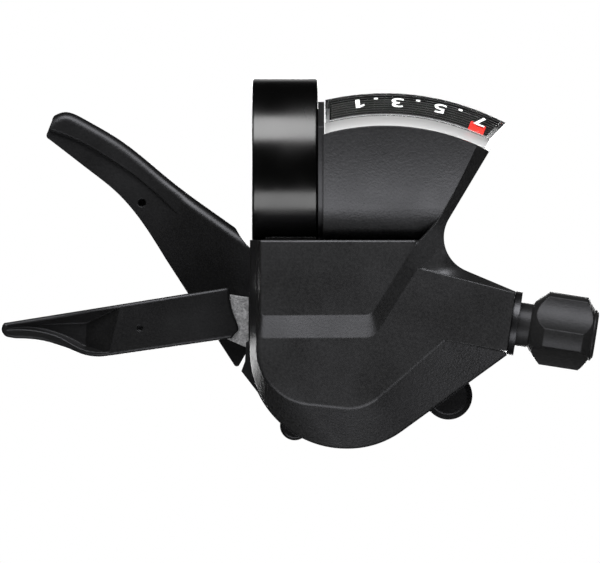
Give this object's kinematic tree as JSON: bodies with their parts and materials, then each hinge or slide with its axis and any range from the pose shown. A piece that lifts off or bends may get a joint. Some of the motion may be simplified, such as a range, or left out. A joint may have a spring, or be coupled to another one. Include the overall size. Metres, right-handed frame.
{
  "type": "trigger gear shifter",
  "caption": "Bar-mounted trigger gear shifter with a thumb lever, a finger release lever, a ratchet spool, a curved gear display and a barrel adjuster for the cable.",
  "frame": {"origin": "centre of the bar clamp's bore, half way along the band", "axes": "+X along the bar towards the cable outlet, +Z towards the display, +Y away from the viewer"},
  "size_m": [0.0999, 0.0424, 0.0619],
  "materials": {
    "cover_resin": "fine-grained satin",
    "case_resin": "fine-grained satin",
    "lever_resin": "fine-grained satin",
    "knob_resin": "smooth satin",
    "band_paint": "satin black",
    "lens_clear": "clear moulded window",
    "dial_black": "finely turned black",
    "flag_red": "bright red",
    "plated_steel": "zinc plated, speckled",
    "bright_steel": "turned",
    "spring_wire": "drawn wire",
    "black_steel": "black oxide",
    "grey_resin": "low-friction moulding",
    "brass": "turned"
  },
  "bodies": {
    "housing": {"upper_cover": "cover_resin", "lower_case": "case_resin", "display_lens": "lens_clear", "display_base": "dial_black", "indicator_pin": "bright_steel", "base_plate": "plated_steel", "main_axle": "bright_steel", "axle_nut": "plated_steel", "spring_cap": "plated_steel", "holding_pawl_pin": "bright_steel", "holding_pawl_spring": "spring_wire", "main_lever_spring": "spring_wire", "release_lever_spring": "spring_wire", "lever_bush": "grey_resin", "back_plate": "plated_steel", "back_plate_screw": "black_steel", "case_screws": "black_steel", "clamp_screws": "black_steel", "clamp_band": "band_paint", "clamp_bolt": "black_steel", "clamp_nut": "black_steel", "adjuster_insert": "brass", "adjuster_spring": "spring_wire", "cable_port_plug": "case_resin"},
    "main_lever": {"main_lever_plate": "plated_steel", "main_lever_pad": "lever_resin", "drive_hub": "plated_steel", "winding_pawl_pin": "bright_steel", "winding_pawl_spring": "spring_wire"},
    "winding_pawl": {"winding_pawl": "plated_steel"},
    "release_lever": {"release_lever_plate": "plated_steel", "release_lever_pad": "lever_resin"},
    "holding_pawl": {"holding_pawl": "plated_steel"},
    "spool": {"cable_spool": "grey_resin", "ratchet_wheel": "plated_steel"},
    "indicator": {"indicator_arm": "flag_red"},
    "click_ring": {"click_ring": "grey_resin"},
    "adjuster": {"cable_adjuster": "knob_resin"}
  },
  "joints": [
    {"name": "main_lever_pivot", "type": "hinge", "parent": "housing", "child": "main_lever", "pos_m": [0.0103, 0.0084, -0.031], "axis": [0, -1, 0], "range_deg": [0, 56], "stiffness_Nm_per_rad": 0.25, "springref_deg": -34.38},
    {"name": "winding_pawl_pivot", "type": "hinge", "parent": "main_lever", "child": "winding_pawl", "pos_m": [-0.00116, -0.00165, -0.03517], "axis": [0, -1, 0], "range_deg": [-8, 0], "stiffness_Nm_per_rad": 0.02, "springref_deg": 17.19},
    {"name": "release_lever_pivot", "type": "hinge", "parent": "housing", "child": "release_lever", "pos_m": [0.0103, 0.00445, -0.031], "axis": [0, -1, 0], "range_deg": [-14, 0], "stiffness_Nm_per_rad": 0.25, "springref_deg": 20.05},
    {"name": "holding_pawl_pivot", "type": "hinge", "parent": "housing", "child": "holding_pawl", "pos_m": [0.02208, -0.00165, -0.03649], "axis": [0, -1, 0], "range_deg": [-13, 0.5]},
    {"name": "spool_turn", "type": "hinge", "parent": "housing", "child": "spool", "pos_m": [0.0103, -0.004, -0.031], "axis": [0, -1, 0], "range_deg": [0, 108]},
    {"name": "indicator_swing", "type": "hinge", "parent": "housing", "child": "indicator", "pos_m": [0.0166, -0.0101, -0.03135], "axis": [0, -1, 0], "range_deg": [-0.5, 29]},
    {"name": "adjuster_travel", "type": "slide", "parent": "housing", "child": "click_ring", "axis": [0.9882, 0, -0.153], "range_m": [-0.0009, 0.0018], "deforming": ["adjuster_spring"]},
    {"name": "adjuster_turn", "type": "hinge", "parent": "click_ring", "child": "adjuster", "pos_m": [0.0376, -0.0054, -0.0263], "axis": [0.9882, 0, -0.153], "range_deg": [-360, 720]}
  ],
  "couplings": [
    {"joint": "holding_pawl_pivot", "follows": "release_lever_pivot", "ratio": 0.714},
    {"joint": "indicator_swing", "follows": "spool_turn", "ratio": 0.25926},
    {"joint": "adjuster_travel", "follows": "adjuster_turn", "m_per_rad": 0.00012732}
  ]
}
